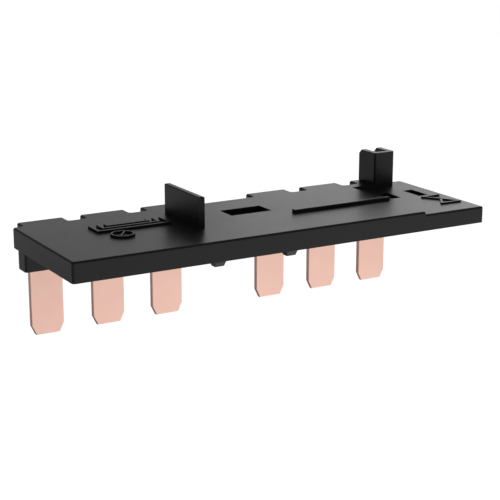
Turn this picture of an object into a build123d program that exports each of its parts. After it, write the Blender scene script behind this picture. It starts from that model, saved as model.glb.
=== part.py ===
"""Reversing contactor link: three nested busbars in a two-part moulded housing.

Frame: X along the row of blades, Y to the rear, Z up, in millimetres. The origin lies midway between the
two contactors, in the middle plane of the blades, on the level where the housing sits on the contactors.
"""
import os

from build123d import *

# Contactors that the link joins
module_pitch = 45.0            # from a blade to its twin on the next contactor
pole_pitch = 11.6              # from one pole to the next in one contactor
poles = 3

# Busbars: flat crossbar, two legs to the rear, each bent down into a blade
bar_thickness = 1.0
crossbar_width = 3.2
crossbar_gap = 1.2             # from one crossbar to the next
leg_width = 3.0
bar_corner = 0.5
bend_radius = 0.6              # inside of the bend
blade_width = 6.0
blade_shoulder = 0.5           # full width starts this far before the bend
blade_reach = 11.8             # below the seat
tip_rise = 1.65                # height of the bevel at each corner of the tip
tip_inset = 0.8                # width of that bevel
blade_edge_round = 0.15

# Housing
end_margin = 6.0               # from an end pole to the end of the housing
housing_top = 8.1              # above the seat
plate_height = 3.5
plate_corner = 0.45
top_edge_round = 0.35
wall = 1.2
top_wall = 1.3
blade_to_front = 26.8          # from the blades' middle plane to the front wall
blade_to_rear_wall = 1.2       # from the blades' middle plane forward to the rear wall
front_bar_gap = 0.7            # from the front wall to the outer crossbar
cover_clearance = 0.15         # over the bars
fit_clearance = 0.1            # between the two mouldings, and round the blades

# Columns that guard the blades below the plate, and the hollow teeth above them
column_width = 8.4
column_front = 1.8             # from the blades' middle plane
column_rear = 1.7
column_corner = 0.45
tooth_wall = 0.8               # at the sides of a tooth

# Lowered end of the top
step_depth = 0.54
step_from_middle = 27.0

# Marker rib, flag and post on the top
rib_width = 0.9
rib_height = 0.58
rib_length = 20.45
rib_from_front = 10.75
flag_thickness = 1.1
flag_length = 12.8
flag_height = 5.3
flag_from_front = 9.4
flag_from_middle = 13.15       # to the flag's outer face
flag_round = 0.2
post_width = 4.5
post_depth = 5.3
post_height = 6.1
post_wall = 1.0
post_bevel = 0.8
post_round = 0.35
post_setback = 0.1             # from the rear of its tooth
post_offset = 0.3              # from the last pole's plane, away from the middle

# Openings in the top
window_length = 8.1
window_width = 4.35
window_from_front = 14.5
slot_rear_from_front = 17.85   # rear end of both slots
slot_width = 2.05
long_slot_length = 5.15
long_slot_offset = 2.0         # from the last pole's plane, away from the middle
short_slot_length = 4.5
short_slot_offset = 3.7        # from the last pole's plane, towards the middle

# Base
divider_thickness = 0.8
divider_clearance = 0.1        # under the cover
foot_width = 2.3
foot_length = 2.6
foot_tip_width = 1.8
foot_tip_length = 1.3
foot_tip_top = 1.0             # above the seat
foot_reach = 0.28              # below the seat
foot_from_middle = 7.3
foot_from_front = 13.7
stake_diameter = 2.0
stake_from_middle = 7.3
stake_from_rear = 4.2          # to the rear wall's outer face
end_stake_diameter = 1.6
end_stake_from_front = 7.5

# Places worked out from the sizes
first_pole = -(module_pitch + (poles - 1) * pole_pitch) / 2
pole_x = [first_pole + module * module_pitch + pole * pole_pitch
          for module in range(2) for pole in range(poles)]
half_length = pole_x[-1] + end_margin
front_y = -blade_to_front
rear_wall_y = -blade_to_rear_wall
housing_depth = rear_wall_y - front_y
middle_y = (front_y + rear_wall_y) / 2
plate_bottom = housing_top - plate_height
low_top = housing_top - step_depth
ceiling = housing_top - top_wall
bar_bottom = ceiling - cover_clearance - bar_thickness
half_blade = bar_thickness / 2
bend_start = -half_blade - bend_radius
bend_end = bar_bottom - bend_radius
crossbar_pitch = crossbar_width + crossbar_gap
crossbar_front = front_y + wall + front_bar_gap
tooth_hollow_width = column_width - 2 * tooth_wall
blade_room = half_blade + fit_clearance
post_x = pole_x[-1] + post_offset
post_front_y = column_rear - post_setback - post_depth
post_right_x = post_x + post_width / 2
end_stake_x = (pole_x[-1] + leg_width / 2 + half_length - wall) / 2
stake_places = [(side * stake_from_middle, rear_wall_y - stake_from_rear) for side in (-1, 1)]
end_stake_places = [(side * end_stake_x, front_y + end_stake_from_front) for side in (-1, 1)]
foot_places = [(side * foot_from_middle, front_y + foot_from_front) for side in (-1, 1)]

os.makedirs("parts", exist_ok=True)

# Plan of the housing: a plate with one tooth over each blade
with BuildSketch() as housing_plan:
    with Locations((0, middle_y)):
        Rectangle(2 * half_length, housing_depth)
    with Locations([(x, (middle_y + column_rear) / 2) for x in pole_x]):
        Rectangle(column_width, column_rear - middle_y)
    inner_corners = housing_plan.vertices().filter_by(lambda v: abs(v.X) < half_length - 0.01)
    fillet(inner_corners, radius=column_corner)
    end_corners = housing_plan.vertices().filter_by(lambda v: abs(v.X) > half_length - 0.01)
    fillet(end_corners, radius=plate_corner)

# Plan of the lowered end: beyond the step, but not the block that carries the post
with BuildSketch() as lowered_plan:
    lowered_length = half_length - step_from_middle
    with Locations((step_from_middle + lowered_length / 2, middle_y)):
        Rectangle(lowered_length, 2 * housing_depth)
    block_length = post_right_x - step_from_middle
    with Locations((step_from_middle + block_length / 2, post_front_y + housing_depth / 2)):
        Rectangle(block_length, housing_depth, mode=Mode.SUBTRACT)

# Upper level of the plate, rounded on its outer rim only
with BuildPart() as upper_level:
    with BuildSketch(Plane.XY.offset(low_top - top_edge_round)):
        add(housing_plan.sketch)
        add(lowered_plan.sketch, mode=Mode.SUBTRACT)
    extrude(amount=step_depth + top_edge_round)
    rims = upper_level.edges().group_by(Axis.Z)[-1]
    outer_rims = rims.filter_by(
        lambda e: (e.center().X < step_from_middle - 0.01 or e.center().Y > post_front_y + 0.01)
        and abs(e.center().X - post_right_x) > 0.01)
    fillet(outer_rims, radius=top_edge_round)

with BuildPart() as cover:
    # Plate: the lower level over the whole length, the upper level on it
    with BuildSketch(Plane.XY.offset(plate_bottom)):
        add(housing_plan.sketch)
    extrude(amount=low_top - plate_bottom)
    fillet(cover.edges().group_by(Axis.Z)[-1], radius=top_edge_round)
    add(upper_level.part)
    # Hollow for the bars, reaching into each tooth for the bends
    with BuildSketch(Plane.XY.offset(plate_bottom)):
        with Locations((0, middle_y)):
            Rectangle(2 * (half_length - wall), housing_depth - 2 * wall)
        with Locations([(x, (middle_y + blade_room) / 2) for x in pole_x]):
            Rectangle(tooth_hollow_width, blade_room - middle_y)
    extrude(amount=ceiling - plate_bottom, mode=Mode.SUBTRACT)
    # Window in the middle, and a slot on each side of the post
    with BuildSketch(Plane.XY.offset(ceiling)):
        with Locations((0, front_y + window_from_front + window_width / 2)):
            Rectangle(window_length, window_width)
        slot_rear_y = front_y + slot_rear_from_front
        with Locations((pole_x[-1] + long_slot_offset, slot_rear_y - long_slot_length / 2)):
            Rectangle(slot_width, long_slot_length)
        with Locations((pole_x[-1] - short_slot_offset, slot_rear_y - short_slot_length / 2)):
            Rectangle(slot_width, short_slot_length)
    extrude(amount=top_wall, mode=Mode.SUBTRACT)
    # Marker rib, ending at the step
    with BuildSketch(Plane.XY.offset(housing_top)):
        with Locations((step_from_middle - rib_length / 2, front_y + rib_from_front + rib_width / 2)):
            Rectangle(rib_length, rib_width)
    extrude(amount=rib_height)
    # Flag
    flag_x = -flag_from_middle + flag_thickness / 2
    with BuildSketch(Plane.XY.offset(housing_top)):
        with Locations((flag_x, front_y + flag_from_front + flag_length / 2)):
            Rectangle(flag_thickness, flag_length)
    extrude(amount=flag_height)
    fillet(cover.edges().group_by(Axis.Z)[-1], radius=flag_round)
    # Post: a channel in plan, open to the rear
    with BuildSketch(Plane.XY.offset(housing_top)):
        with Locations((post_x, post_front_y + post_depth / 2)):
            Rectangle(post_width, post_depth)
        with Locations((post_x, post_front_y + post_wall + post_depth / 2)):
            Rectangle(post_width - 2 * post_wall, post_depth, mode=Mode.SUBTRACT)
    extrude(amount=post_height)
    rear_tops = cover.edges().group_by(Axis.Z)[-1].filter_by(Axis.X).group_by(Axis.Y)[-1]
    chamfer(rear_tops, length=post_bevel)
    post_corners = cover.edges().filter_by(Axis.Z).filter_by(
        lambda e: e.center().Z > housing_top and abs(e.center().Y - post_front_y) < 0.01)
    fillet(post_corners, radius=post_round)
    # Stakes that hold the base
    with BuildSketch(Plane.XY.offset(plate_bottom)):
        with Locations(stake_places):
            Circle(stake_diameter / 2)
        with Locations(end_stake_places):
            Circle(end_stake_diameter / 2)
    extrude(amount=ceiling - plate_bottom)
cover.part.label = "cover"
export_step(cover.part, "parts/cover.step")

with BuildPart() as base:
    # Floor inside the cover's walls, reaching under each leg as far as its bend
    tray_rear_y = rear_wall_y - wall - fit_clearance
    tray_front_y = front_y + wall + fit_clearance
    tray_middle_y = (tray_front_y + tray_rear_y) / 2
    with BuildSketch(Plane.XY.offset(plate_bottom)) as floor_plan:
        with Locations((0, tray_middle_y)):
            Rectangle(2 * (half_length - wall - fit_clearance), tray_rear_y - tray_front_y)
        with Locations([(x, (tray_middle_y + bend_start) / 2) for x in pole_x]):
            Rectangle(tooth_hollow_width - 2 * fit_clearance, bend_start - tray_middle_y)
        with Locations(stake_places):
            Circle(stake_diameter / 2 + fit_clearance, mode=Mode.SUBTRACT)
        with Locations(end_stake_places):
            Circle(end_stake_diameter / 2 + fit_clearance, mode=Mode.SUBTRACT)
    extrude(amount=bar_bottom - plate_bottom)
    # Columns round the blades, down to the seat, each hanging from the floor's edge by its front wall
    with BuildSketch():
        with Locations([(x, (column_rear - column_front) / 2) for x in pole_x]):
            RectangleRounded(column_width, column_front + column_rear, column_corner)
    extrude(amount=plate_bottom)
    with BuildSketch(Plane.XY.offset(plate_bottom)):
        with Locations([(x, (bend_start - blade_room) / 2) for x in pole_x]):
            Rectangle(tooth_hollow_width - 2 * fit_clearance, blade_room + bend_start)
    extrude(amount=bend_end - plate_bottom)
    with BuildSketch():
        with Locations([(x, 0) for x in pole_x]):
            Rectangle(blade_width + 2 * fit_clearance, 2 * blade_room)
    extrude(amount=plate_bottom, mode=Mode.SUBTRACT)
    # Dividers between the nested bars
    for inner in range(1, poles):
        divider_y = crossbar_front + inner * crossbar_pitch - crossbar_gap / 2
        divider_x = pole_x[-inner] - pole_pitch / 2
        with BuildSketch(Plane.XY.offset(bar_bottom)):
            with Locations((0, divider_y)):
                Rectangle(2 * divider_x + divider_thickness, divider_thickness)
            with Locations([(side * divider_x, (divider_y + tray_rear_y) / 2) for side in (-1, 1)]):
                Rectangle(divider_thickness, tray_rear_y - divider_y)
        extrude(amount=ceiling - divider_clearance - bar_bottom)
    # Feet with wedged tips
    with BuildSketch(Plane.XY.offset(plate_bottom)):
        with Locations(foot_places):
            Rectangle(foot_width, foot_length)
    extrude(amount=foot_tip_top - plate_bottom)
    for place in foot_places:
        with BuildSketch(Plane.XY.offset(foot_tip_top)):
            with Locations(place):
                Rectangle(foot_width, foot_length)
        with BuildSketch(Plane.XY.offset(-foot_reach)):
            with Locations(place):
                Rectangle(foot_tip_width, foot_tip_length)
        loft()
base.part.label = "base"
export_step(base.part, "parts/base.step")

# Busbars, numbered from the outer one inwards
for number in range(1, poles + 1):
    bar_poles = (pole_x[number - 1], pole_x[-number])
    bar_y = crossbar_front + (number - 1) * crossbar_pitch
    with BuildPart() as busbar:
        # Blades with bevelled tips and broken edges
        with BuildSketch(Plane.XZ):
            for x in bar_poles:
                with BuildLine():
                    side = blade_width / 2
                    Polyline((x - side, bend_end), (x + side, bend_end),
                             (x + side, tip_rise - blade_reach), (x + side - tip_inset, -blade_reach),
                             (x - side + tip_inset, -blade_reach), (x - side, tip_rise - blade_reach),
                             close=True)
                make_face()
        extrude(amount=half_blade, both=True)
        blade_outlines = busbar.edges().filter_by(
            lambda e: abs(abs(e.center().Y) - half_blade) < 0.001 and e.center().Z < bend_end - 0.001)
        fillet(blade_outlines, radius=blade_edge_round)
        # Bends
        for x in bar_poles:
            with BuildSketch(Plane.YZ.offset(x)):
                with BuildLine():
                    outer_arc = CenterArc((bend_start, bend_end), bend_radius + bar_thickness, 0, 90)
                    inner_arc = CenterArc((bend_start, bend_end), bend_radius, 0, 90)
                    Line(outer_arc @ 0, inner_arc @ 0)
                    Line(outer_arc @ 1, inner_arc @ 1)
                make_face()
            extrude(amount=blade_width / 2, both=True)
        # Crossbar and legs, widening before the bends
        with BuildSketch(Plane.XY.offset(bar_bottom)) as flat:
            with Locations((0, bar_y + crossbar_width / 2)):
                Rectangle(bar_poles[1] - bar_poles[0] + leg_width, crossbar_width)
            with Locations([(x, (bar_y + bend_start) / 2) for x in bar_poles]):
                Rectangle(leg_width, bend_start - bar_y)
            fillet(flat.vertices().group_by(Axis.Y)[0], radius=bar_corner)
            with Locations([(x, bend_start - blade_shoulder / 2) for x in bar_poles]):
                Rectangle(blade_width, blade_shoulder)
        extrude(amount=bar_thickness)
    busbar.part.label = f"busbar_{number}"
    export_step(busbar.part, f"parts/busbar_{number}.step")
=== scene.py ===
"""Looks of a reversing contactor link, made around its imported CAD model.

The two black mouldings and the three copper busbars keep their CAD shapes and get procedural finishes. The
raised marks on the top of the housing are modelled here. All lengths are in metres, in the frame of the CAD
model.
"""

import logging
import math
from dataclasses import dataclass, field
from enum import Enum
from typing import Any

import bmesh
import bpy
from mathutils import Matrix, Vector


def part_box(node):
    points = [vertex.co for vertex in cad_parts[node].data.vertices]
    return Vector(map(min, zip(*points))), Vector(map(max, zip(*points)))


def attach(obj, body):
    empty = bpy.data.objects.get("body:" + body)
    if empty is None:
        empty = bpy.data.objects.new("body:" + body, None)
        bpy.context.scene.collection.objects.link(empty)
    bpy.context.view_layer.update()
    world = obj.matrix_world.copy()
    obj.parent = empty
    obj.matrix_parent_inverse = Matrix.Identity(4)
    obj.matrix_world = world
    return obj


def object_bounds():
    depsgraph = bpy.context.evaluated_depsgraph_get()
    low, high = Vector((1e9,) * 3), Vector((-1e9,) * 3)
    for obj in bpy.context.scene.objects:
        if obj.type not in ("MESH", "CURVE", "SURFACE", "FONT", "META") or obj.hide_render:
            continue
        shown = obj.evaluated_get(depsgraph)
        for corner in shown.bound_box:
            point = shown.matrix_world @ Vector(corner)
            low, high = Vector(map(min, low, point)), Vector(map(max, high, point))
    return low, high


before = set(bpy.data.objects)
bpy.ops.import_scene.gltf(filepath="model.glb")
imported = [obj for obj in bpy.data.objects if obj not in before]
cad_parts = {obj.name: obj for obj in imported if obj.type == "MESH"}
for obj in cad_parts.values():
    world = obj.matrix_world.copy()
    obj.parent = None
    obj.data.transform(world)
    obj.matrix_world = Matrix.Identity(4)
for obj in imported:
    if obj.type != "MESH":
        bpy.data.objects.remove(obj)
cad_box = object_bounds()

log = logging.getLogger("contactor_link")

MM = 0.001
NOISE_MIDDLE = 0.5
FLAT = (1.0, 1.0, 0.0)

Colour = tuple[float, float, float]
Point = tuple[float, float, float]


class Slot(Enum):
    """The record's material slots, one for each finish of the link."""

    MOULDING = "moulding"
    COPPER = "copper"


class Value:
    """A number socket of a shader that takes part in Python arithmetic.

    Every operation adds one Math node and gives its result as a new Value.
    """

    def __init__(self, graph: "Graph", socket: bpy.types.NodeSocket) -> None:
        """Keeps the socket and the graph that it belongs to."""
        self.graph = graph
        self.socket = socket

    def _math(self, operation: str, *terms: "Value | float") -> "Value":
        """Adds a Math node.

        Args:
            operation: The node's operation.
            terms: Its values in order.

        Returns:
            The node's result.
        """
        return self.graph.value("ShaderNodeMath", {"operation": operation}, dict(enumerate(terms)))

    def __add__(self, other: "Value | float") -> "Value":
        """Sum."""
        return self._math("ADD", self, other)

    def __radd__(self, other: float) -> "Value":
        """Sum with a number on the left."""
        return self._math("ADD", other, self)

    def __sub__(self, other: "Value | float") -> "Value":
        """Difference."""
        return self._math("SUBTRACT", self, other)

    def __rsub__(self, other: float) -> "Value":
        """Difference from a number on the left."""
        return self._math("SUBTRACT", other, self)

    def __mul__(self, other: "Value | float") -> "Value":
        """Product."""
        return self._math("MULTIPLY", self, other)

    def __rmul__(self, other: float) -> "Value":
        """Product with a number on the left."""
        return self._math("MULTIPLY", other, self)

    def at_least(self, low: float) -> "Value":
        """The value, or the given number where that is higher."""
        return self._math("MAXIMUM", self, low)

    def moved(self, other: "Value | float", share: "Value | float") -> "Value":
        """The value, moved by a share of the way to another."""
        return self + (other - self) * share


class Graph:
    """A node tree that is filled from Python."""

    def __init__(self, tree: bpy.types.NodeTree) -> None:
        """Empties the tree, so that nothing but the nodes made here is in it."""
        tree.nodes.clear()
        self.tree = tree

    def node(self, kind: str, settings: dict[str, Any] | None = None,
             inputs: dict[int | str, Any] | None = None) -> bpy.types.Node:
        """Adds a node.

        Args:
            kind: The node's type.
            settings: Its own settings, set before its sockets.
            inputs: Numbers, colours, Values or output sockets, by the input's name or place.

        Returns:
            The new node.
        """
        made = self.tree.nodes.new(kind)
        for name, setting in (settings or {}).items():
            setattr(made, name, setting)
        for key, given in (inputs or {}).items():
            source = given.socket if isinstance(given, Value) else given
            if isinstance(source, bpy.types.NodeSocket):
                self.tree.links.new(source, made.inputs[key])
            else:
                made.inputs[key].default_value = source
        return made

    def value(self, kind: str, settings: dict[str, Any] | None = None,
              inputs: dict[int | str, Any] | None = None, output: int | str = 0) -> Value:
        """Adds a node as node() does, and gives one of its outputs as a Value."""
        return Value(self, self.node(kind, settings, inputs).outputs[output])

    def noise(self, place: bpy.types.NodeSocket, size: float, detail: float,
              stretch: Point = (1.0, 1.0, 1.0)) -> Value:
        """Adds a cloudy pattern in space.

        Args:
            place: The coordinates.
            size: Size of one patch, in metres.
            detail: Octaves of finer patches.
            stretch: How many times longer a patch is along each axis.

        Returns:
            The pattern, around NOISE_MIDDLE.
        """
        scale = tuple(1.0 / times for times in stretch)
        mapped = self.node("ShaderNodeMapping", {}, {"Vector": place, "Scale": scale}).outputs["Vector"]
        inputs = {"Vector": mapped, "Scale": 1.0 / size, "Detail": detail}
        return self.value("ShaderNodeTexNoise", {}, inputs, "Fac")

    def ramp(self, value: Value, start: float, end: float) -> Value:
        """Rises straight from 0 to 1 as the value goes from start to end, which may be the lower one."""
        return self.value("ShaderNodeMapRange", {}, {"Value": value, "From Min": start, "From Max": end})

    def level(self, vector: bpy.types.NodeSocket) -> bpy.types.NodeSocket:
        """Takes the height out of a vector."""
        return self.node("ShaderNodeVectorMath", {"operation": "MULTIPLY"}, {0: vector, 1: FLAT}).outputs[0]

    def towards(self, direction: bpy.types.NodeSocket, azimuth: float) -> Value:
        """Compares a level direction with an azimuth.

        Args:
            direction: The direction, of any length.
            azimuth: The azimuth, which counts from +Y towards +X.

        Returns:
            The cosine of the angle between them.
        """
        unit = self.node("ShaderNodeVectorMath", {"operation": "NORMALIZE"}, {0: direction}).outputs[0]
        aim = (math.sin(azimuth), math.cos(azimuth), 0.0)
        return self.value("ShaderNodeVectorMath", {"operation": "DOT_PRODUCT"}, {0: unit, 1: aim}, "Value")

    def colours(self, amount: Value, low: Colour, high: Colour) -> bpy.types.NodeSocket:
        """Mixes two colours by a value.

        Args:
            amount: The value, from 0 to 1.
            low: The colour at 0.
            high: The colour at 1.

        Returns:
            The mixed colour.
        """
        settings = {"data_type": "RGBA", "clamp_factor": True}
        mix = self.node("ShaderNodeMix", settings, {"Factor": amount, 6: (*low, 1.0), 7: (*high, 1.0)})
        return mix.outputs[2]

    def bump(self, height: Value, depth: float) -> bpy.types.NodeSocket:
        """Turns a height pattern into a normal, with depth in metres for a height of 1."""
        return self.node("ShaderNodeBump", {}, {"Height": height, "Distance": depth}).outputs["Normal"]


def new_material(name: str) -> tuple[bpy.types.Material, Graph, bpy.types.NodeSocket]:
    """Starts a procedural material.

    Args:
        name: The material's name.

    Returns:
        The material, its graph and its Object coordinates.
    """
    material = bpy.data.materials.new(name)
    material.use_nodes = True
    graph = Graph(material.node_tree)
    place = graph.node("ShaderNodeTexCoord").outputs["Object"]
    return material, graph, place


def new_object(name: str, data: bpy.types.ID) -> bpy.types.Object:
    """Puts an object into the scene.

    Args:
        name: The object's name.
        data: Its mesh, lamp or camera.

    Returns:
        The object, at the origin.
    """
    made = bpy.data.objects.new(name, data)
    bpy.context.scene.collection.objects.link(made)
    return made


@dataclass(frozen=True)
class Coat:
    """A finish that is ready to be put on pieces, and the record's slot that it belongs to."""

    material: bpy.types.Material
    slot: Slot


@dataclass(frozen=True)
class BlackMoulding:
    """Matt black glass-filled plastic, moulded in a fine spark-eroded tool."""

    name: str = "black_moulding"
    dark: Colour = (0.0038, 0.0038, 0.004)
    light: Colour = (0.0062, 0.0062, 0.0065)
    roughness: float = 0.37
    roughness_range: float = 0.05
    specular: float = 0.28
    grain: float = 0.16 * MM
    grain_depth: float = 0.003 * MM
    grain_share: float = 0.5
    clouds: float = 9.0 * MM
    detail: float = 3.0

    def build(self) -> Coat:
        """Makes the finish.

        Returns:
            The coat of both mouldings and of the marks on them.
        """
        material, graph, place = new_material(self.name)
        clouds = graph.noise(place, self.clouds, self.detail)
        grain = graph.noise(place, self.grain, self.detail)
        uneven = (clouds - NOISE_MIDDLE) + (grain - NOISE_MIDDLE)
        shader = graph.node("ShaderNodeBsdfPrincipled", {}, {
            "Base Color": graph.colours(clouds.moved(grain, self.grain_share), self.dark, self.light),
            "Roughness": self.roughness + uneven * self.roughness_range,
            "Specular IOR Level": self.specular,
            "Normal": graph.bump(grain, self.grain_depth),
        })
        graph.node("ShaderNodeOutputMaterial", {}, {"Surface": shader.outputs[0]})
        return Coat(material, Slot.MOULDING)


@dataclass(frozen=True)
class StampedCopper:
    """Bare copper strip, rolled and stamped, with faint streaks along the blades."""

    name: str = "stamped_copper"
    dark: Colour = (0.71, 0.45, 0.375)
    light: Colour = (0.785, 0.52, 0.437)
    metallic: float = 1.0
    roughness: float = 0.42
    roughness_range: float = 0.08
    streak: float = 0.12 * MM
    streak_length: Point = (1.0, 1.0, 14.0)
    streak_depth: float = 0.0012 * MM
    streak_share: float = 0.25
    tarnish: float = 5.0 * MM
    detail: float = 2.0

    def build(self) -> Coat:
        """Makes the finish.

        Returns:
            The coat of the busbars.
        """
        material, graph, place = new_material(self.name)
        streaks = graph.noise(place, self.streak, self.detail, self.streak_length)
        patches = graph.noise(place, self.tarnish, self.detail)
        shader = graph.node("ShaderNodeBsdfPrincipled", {}, {
            "Base Color": graph.colours(patches.moved(streaks, self.streak_share), self.dark, self.light),
            "Metallic": self.metallic,
            "Roughness": self.roughness + (streaks - NOISE_MIDDLE) * self.roughness_range,
            "Normal": graph.bump(streaks, self.streak_depth),
        })
        graph.node("ShaderNodeOutputMaterial", {}, {"Surface": shader.outputs[0]})
        return Coat(material, Slot.COPPER)


@dataclass(frozen=True)
class StudioFloor:
    """Pale floor, white to the camera, which keeps the link's shadow.

    Metal and gloss show it too, as a painted glow: emission painted on by place. Under the link it falls
    off from the front right to painted shade at the rear left, and further away it evens out.
    """

    name: str = "studio_floor"
    colour: Colour = (0.6, 0.6, 0.6)
    white: float = 0.86
    # Levels of the painted glow that reflections see: brightest near the link towards one azimuth, painted
    # shade opposite it, and one even level far out.
    painted_near_glow: float = 0.62
    painted_glow_swing: float = 0.93
    painted_glow_azimuth: float = math.radians(131.0)
    painted_far_glow: float = 0.55
    near: float = 0.1
    far: float = 0.6

    def build(self) -> bpy.types.Material:
        """Makes the material.

        Returns:
            The floor's material.
        """
        material, graph, place = new_material(self.name)
        looks = graph.node("ShaderNodeLightPath").outputs
        seen = Value(graph, looks["Is Camera Ray"])
        mirrored = Value(graph, looks["Is Glossy Ray"]) + Value(graph, looks["Is Transmission Ray"])
        spot = graph.level(place)
        # Painted glow: the floor's emission for reflections is painted brighter to the front right and
        # darker, as painted shade, to the rear left.
        painted_near_glow = self.painted_near_glow + self.painted_glow_swing * graph.towards(spot, self.painted_glow_azimuth)
        distance = graph.value("ShaderNodeVectorMath", {"operation": "LENGTH"}, {0: spot}, "Value")
        painted_glow = painted_near_glow.at_least(0.0).moved(self.painted_far_glow, graph.ramp(distance, self.near, self.far))
        paint = graph.node("ShaderNodeBsdfDiffuse", {}, {"Color": (*self.colour, 1.0)})
        light = graph.node("ShaderNodeEmission", {}, {"Color": seen * self.white + mirrored * painted_glow})
        both = graph.node("ShaderNodeAddShader", {}, {0: paint.outputs[0], 1: light.outputs[0]})
        graph.node("ShaderNodeOutputMaterial", {}, {"Surface": both.outputs[0]})
        return material


class MeshPiece:
    """A piece that is modelled here with bmesh and rides on the link's one body."""

    merge_distance: float = 0.0001 * MM
    sharp_angle: float = math.radians(40.0)
    bevel_segments: int = 2

    def __init__(self, name: str) -> None:
        """Starts an empty mesh under the piece's name."""
        self.name = name
        self.bm = bmesh.new()

    def box(self, centre: Vector, size: Point, turn: float = 0.0) -> None:
        """Adds a bar.

        Args:
            centre: Middle of the bar.
            size: Its extents along its own axes.
            turn: Angle about Z, in radians.
        """
        place = Matrix.Translation(centre) @ Matrix.Rotation(turn, 4, "Z") @ Matrix.Diagonal((*size, 1.0))
        bmesh.ops.create_cube(self.bm, size=1.0, matrix=place)

    def boxes_around(self, centre: Vector, radius: float, count: int, size: Point) -> None:
        """Adds bars on a circle, evenly spaced, with their first axes along its radii.

        Args:
            centre: Middle of the circle.
            radius: Its radius, to the middles of the bars.
            count: Number of bars.
            size: Extents of each bar.
        """
        for number in range(count):
            angle = math.tau * number / count
            self.box(centre + radius * Vector((math.cos(angle), math.sin(angle), 0.0)), size, angle)

    def plate(self, outline: list[tuple[float, float]], bottom: float, height: float) -> None:
        """Adds a plate with an upright rim.

        Args:
            outline: Corners in plan, anticlockwise.
            bottom: Height of its underside.
            height: Its thickness.
        """
        corners = [self.bm.verts.new((x, y, bottom)) for x, y in outline]
        face = self.bm.faces.new(corners)
        raised = bmesh.ops.extrude_face_region(self.bm, geom=[face], use_keep_orig=True)
        tops = [item for item in raised["geom"] if isinstance(item, bmesh.types.BMVert)]
        bmesh.ops.translate(self.bm, verts=tops, vec=(0.0, 0.0, height))

    def ring(self, centre: Vector, outer: float, inner: float, height: float, steps: int) -> None:
        """Adds a flat ring.

        Args:
            centre: Middle of its underside.
            outer: Outer radius.
            inner: Inner radius.
            height: Its thickness.
            steps: Segments of a full turn.
        """
        profile = [(inner, 0.0), (outer, 0.0), (outer, height), (inner, height)]
        corners = [self.bm.verts.new(centre + Vector((radius, 0.0, z))) for radius, z in profile]
        edges = [self.bm.edges.new(pair) for pair in zip(corners, corners[1:] + corners[:1])]
        bmesh.ops.spin(self.bm, geom=corners + edges, cent=centre, axis=(0.0, 0.0, 1.0),
                       dvec=(0.0, 0.0, 0.0), angle=math.tau, steps=steps, use_merge=True,
                       use_duplicate=False)

    def soften(self, radius: float, above: float) -> None:
        """Rounds the edges that lie higher than a level.

        Args:
            radius: Radius of the rounding.
            above: The level.
        """
        bmesh.ops.remove_doubles(self.bm, verts=self.bm.verts, dist=self.merge_distance)
        bmesh.ops.recalc_face_normals(self.bm, faces=self.bm.faces)
        raised = [edge for edge in self.bm.edges if all(corner.co.z > above for corner in edge.verts)]
        sharp = [edge for edge in raised if edge.calc_face_angle(0.0) > self.sharp_angle]
        bmesh.ops.bevel(self.bm, geom=sharp, offset=radius, offset_type="OFFSET",
                        segments=self.bevel_segments, profile=0.5, affect="EDGES", material=-1)

    def finish(self, coat: Coat) -> None:
        """Turns the mesh into an object that rides on the link.

        Args:
            coat: Its finish.
        """
        bmesh.ops.recalc_face_normals(self.bm, faces=self.bm.faces)
        mesh = bpy.data.meshes.new(self.name)
        self.bm.to_mesh(mesh)
        self.bm.free()
        made = new_object(self.name, mesh)
        made.data.materials.append(coat.material)
        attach(made, "root")
        log.info("%s: %d faces, %s", self.name, len(mesh.polygons), coat.slot.value)


def dress_node(name: str, coat: Coat) -> None:
    """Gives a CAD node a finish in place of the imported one.

    Args:
        name: The node's name.
        coat: Its finish.
    """
    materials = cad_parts[name].data.materials
    materials.clear()
    materials.append(coat.material)
    log.info("%s: CAD shape, %s", name, coat.slot.value)


@dataclass
class Housing:
    """The two black mouldings, and the levels of the plate that the marks stand on."""

    coat: Coat
    post_height: float = 6.1 * MM
    step_depth: float = 0.54 * MM
    top: float = field(init=False)
    low_top: float = field(init=False)
    left: float = field(init=False)
    right: float = field(init=False)
    front: float = field(init=False)

    def __post_init__(self) -> None:
        """Reads the plate's place from the frame."""
        low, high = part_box("cover")
        self.top = high.z - self.post_height
        self.low_top = self.top - self.step_depth
        self.left, self.right, self.front = low.x, high.x, low.y

    def dress(self) -> None:
        """Gives both mouldings their finish."""
        for name in ("cover", "base"):
            dress_node(name, self.coat)


@dataclass
class Busbars:
    """The three nested copper links."""

    coat: Coat
    count: int = 3

    def dress(self) -> None:
        """Gives each busbar its finish."""
        for number in range(1, self.count + 1):
            dress_node(f"busbar_{number}", self.coat)


@dataclass
class MarkStyle:
    """How the raised marks on the plate are made."""

    height: float = 0.36 * MM
    sunk: float = 0.05 * MM
    rounding: float = 0.05 * MM
    fine_rounding: float = 0.025 * MM


@dataclass
class LinkPictogram:
    """Raised picture of the three nested links: three brackets, open to the rear."""

    housing: Housing
    style: MarkStyle
    line: float = 0.5 * MM
    from_left: tuple[float, ...] = (10.8 * MM, 12.3 * MM, 13.65 * MM)
    to_right: tuple[float, ...] = (24.45 * MM, 23.1 * MM, 21.7 * MM)
    from_front: tuple[float, ...] = (14.6 * MM, 16.05 * MM, 17.45 * MM)
    rear: float = 18.75 * MM

    def build(self, coat: Coat) -> None:
        """Models the brackets as one piece.

        Args:
            coat: Their finish.
        """
        piece = MeshPiece("link_pictogram")
        bottom = self.housing.top - self.style.sunk
        height = self.style.height + self.style.sunk
        rear = self.housing.front + self.rear
        for from_left, to_right, from_front in zip(self.from_left, self.to_right, self.from_front):
            left, right = self.housing.left + from_left, self.housing.left + to_right
            front = self.housing.front + from_front
            outer = [(left, rear), (left, front), (right, front), (right, rear)]
            inner_left, inner_right, inner_front = left + self.line, right - self.line, front + self.line
            inner = [(inner_right, rear), (inner_right, inner_front), (inner_left, inner_front),
                     (inner_left, rear)]
            piece.plate(outer + inner, bottom, height)
        piece.soften(self.style.rounding, self.housing.top)
        piece.finish(coat)


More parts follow.
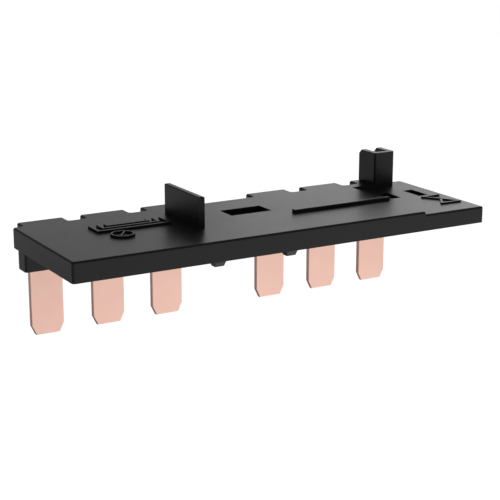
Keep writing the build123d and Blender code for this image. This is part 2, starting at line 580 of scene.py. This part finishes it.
@dataclass
class DateDial:
    """Raised dial of a moulding date: a knurled ring with a bar across and ticks inside."""

    housing: Housing
    style: MarkStyle
    from_left: float = 13.85 * MM
    from_front: float = 11.5 * MM
    radius: float = 1.98 * MM
    line: float = 0.26 * MM
    steps: int = 84
    knurls: int = 28
    knurl_size: float = 0.2 * MM
    ticks: int = 12
    tick_length: float = 0.35 * MM
    tick_line: float = 0.13 * MM
    bar_length: float = 2.8 * MM
    bar_turn: float = math.radians(52.0)

    def build(self, coat: Coat) -> None:
        """Models the dial as one piece.

        Args:
            coat: Its finish.
        """
        piece = MeshPiece("date_dial")
        bottom = self.housing.top - self.style.sunk
        height = self.style.height + self.style.sunk
        centre = Vector((self.housing.left + self.from_left, self.housing.front + self.from_front, bottom))
        inner = self.radius - self.line
        piece.ring(centre, self.radius, inner, height, self.steps)
        middle = centre + Vector((0.0, 0.0, height / 2))
        knurl = (self.knurl_size, self.knurl_size, height)
        piece.boxes_around(middle, self.radius, self.knurls, knurl)
        tick = (self.tick_length, self.tick_line, height)
        piece.boxes_around(middle, inner - self.tick_length / 2, self.ticks, tick)
        piece.box(middle, (self.bar_length, self.line, height), self.bar_turn)
        piece.soften(self.style.fine_rounding, self.housing.top)
        piece.finish(coat)


@dataclass
class CornerMark:
    """Raised hourglass on the lowered end of the plate: two bars with crossed lines between them."""

    housing: Housing
    style: MarkStyle
    height: float = 0.28 * MM
    from_right: float = 3.4 * MM
    from_front: float = 8.2 * MM
    width: float = 4.4 * MM
    length: float = 6.3 * MM
    line: float = 0.4 * MM

    def build(self, coat: Coat) -> None:
        """Models the mark as one piece.

        Args:
            coat: Its finish.
        """
        piece = MeshPiece("corner_mark")
        height = self.height + self.style.sunk
        z = self.housing.low_top - self.style.sunk + height / 2
        centre = Vector((self.housing.right - self.from_right, self.housing.front + self.from_front, z))
        diagonal = math.hypot(self.length, self.width) - 2 * self.line
        for side in (-1, 1):
            across = Vector((0.0, side * (self.length - self.line) / 2, 0.0))
            piece.box(centre + across, (self.width, self.line, height))
            turn = side * math.atan2(self.length, self.width)
            piece.box(centre, (diagonal, self.line, height), turn)
        piece.soften(self.style.fine_rounding, self.housing.low_top)
        piece.finish(coat)


@dataclass(frozen=True)
class Lamp:
    """A softbox: a square area lamp that faces the link and never shows itself to the camera."""

    name: str
    place: Point
    side: float
    radiance: float

    def build(self) -> None:
        """Makes the lamp."""
        data = bpy.data.lights.new(self.name, "AREA")
        data.shape = "SQUARE"
        data.size = self.side
        data.energy = self.radiance * math.pi * self.side ** 2
        lamp = new_object(self.name, data)
        lamp.location = self.place
        lamp.rotation_euler = (-Vector(self.place)).to_track_quat("-Z", "Y").to_euler()
        lamp.visible_camera = False
        log.info("%s: lamp", self.name)


@dataclass
class Studio:
    """Camera, pale floor and soft light round the link."""

    camera_place: Point = (-118.188 * MM, -216.398 * MM, 64.464 * MM)
    camera_azimuth: float = math.radians(-30.0)
    camera_elevation: float = math.radians(14.974)
    focal_pixels: float = 1381.377
    image_width: float = 500.0
    sensor: float = 36.0
    clip_start: float = 10.0 * MM
    clip_end: float = 20.0
    floor_drop: float = 60.0 * MM
    floor_radius: float = 4.0
    floor_segments: int = 96
    sky_level: float = 0.335
    ceiling_level: float = 0.2
    ceiling_start: float = math.radians(36.0)
    ceiling_end: float = math.radians(54.0)
    shade_depth: float = 0.65
    shade_azimuth: float = math.radians(-34.0)
    shade_reach: float = math.radians(55.0)
    panel_level: float = 0.92
    panel_azimuth: float = math.radians(34.0)
    panel_reach: float = math.radians(45.0)
    panel_start: float = math.radians(5.0)
    panel_end: float = math.radians(20.0)
    lamps: tuple[Lamp, ...] = (
        Lamp("near_softbox", place=(0.30, 0.20, 0.12), side=0.16, radiance=0.6),
        Lamp("far_softbox", place=(0.60, 0.70, 0.30), side=0.40, radiance=0.85),
    )

    def camera(self) -> None:
        """Places the camera where the photograph was taken from."""
        data = bpy.data.cameras.new("photo_camera")
        data.sensor_width = self.sensor
        data.lens = self.focal_pixels / self.image_width * self.sensor
        data.clip_start = self.clip_start
        data.clip_end = self.clip_end
        camera = new_object("photo_camera", data)
        flat = math.cos(self.camera_elevation)
        looks = Vector((-math.sin(self.camera_azimuth) * flat, math.cos(self.camera_azimuth) * flat,
                        -math.sin(self.camera_elevation)))
        camera.location = self.camera_place
        camera.rotation_euler = looks.to_track_quat("-Z", "Y").to_euler()
        bpy.context.scene.camera = camera

    def floor(self) -> None:
        """Lays a wide pale floor well below the link, which hangs free as in the photograph."""
        bm = bmesh.new()
        bmesh.ops.create_circle(bm, cap_ends=True, segments=self.floor_segments, radius=self.floor_radius)
        bmesh.ops.translate(bm, verts=bm.verts, vec=(0.0, 0.0, cad_box[0].z - self.floor_drop))
        mesh = bpy.data.meshes.new("studio_floor")
        bm.to_mesh(mesh)
        bm.free()
        floor = new_object("studio_floor", mesh)
        floor.data.materials.append(StudioFloor().build())

    def sky(self) -> None:
        """Fills the world with soft light, and makes it white to the camera.

        The ceiling is dim, the rear left is in shade, and a low panel stands at the rear right.
        """
        world = bpy.data.worlds.new("studio_sky")
        bpy.context.scene.world = world
        world.use_nodes = True
        graph = Graph(world.node_tree)
        direction = graph.node("ShaderNodeTexCoord").outputs["Generated"]
        height = graph.value("ShaderNodeSeparateXYZ", {}, {0: direction}, "Z")
        ceiling = graph.ramp(height, math.sin(self.ceiling_start), math.sin(self.ceiling_end))
        low = graph.ramp(height, math.sin(self.panel_end), math.sin(self.panel_start))
        flat = graph.level(direction)
        panel = graph.ramp(graph.towards(flat, self.panel_azimuth), math.cos(self.panel_reach), 1.0)
        shade = graph.ramp(graph.towards(flat, self.shade_azimuth), math.cos(self.shade_reach), 1.0)
        walls = self.sky_level * (1.0 - self.shade_depth * shade)
        light = walls.moved(self.ceiling_level, ceiling) + self.panel_level * low * panel
        soft = graph.node("ShaderNodeBackground", {}, {"Color": light})
        white = graph.node("ShaderNodeBackground", {}, {"Color": (1.0, 1.0, 1.0, 1.0)})
        seen = graph.node("ShaderNodeLightPath").outputs["Is Camera Ray"]
        mixed = graph.node("ShaderNodeMixShader", {}, {0: seen, 1: soft.outputs[0], 2: white.outputs[0]})
        graph.node("ShaderNodeOutputWorld", {}, {"Surface": mixed.outputs[0]})

    def build(self) -> None:
        """Sets the stage and the plain view of colours."""
        bpy.context.scene.view_settings.view_transform = "Standard"
        self.camera()
        self.floor()
        self.sky()
        for lamp in self.lamps:
            lamp.build()


def main() -> None:
    """Builds the looks, piece by piece."""
    logging.basicConfig(level=logging.INFO, format="%(name)s %(message)s")
    Studio().build()
    plastic = BlackMoulding().build()
    housing = Housing(plastic)
    housing.dress()
    Busbars(StampedCopper().build()).dress()
    style = MarkStyle()
    for mark in (LinkPictogram(housing, style), DateDial(housing, style), CornerMark(housing, style)):
        mark.build(plastic)


if __name__ == "__main__":
    main()
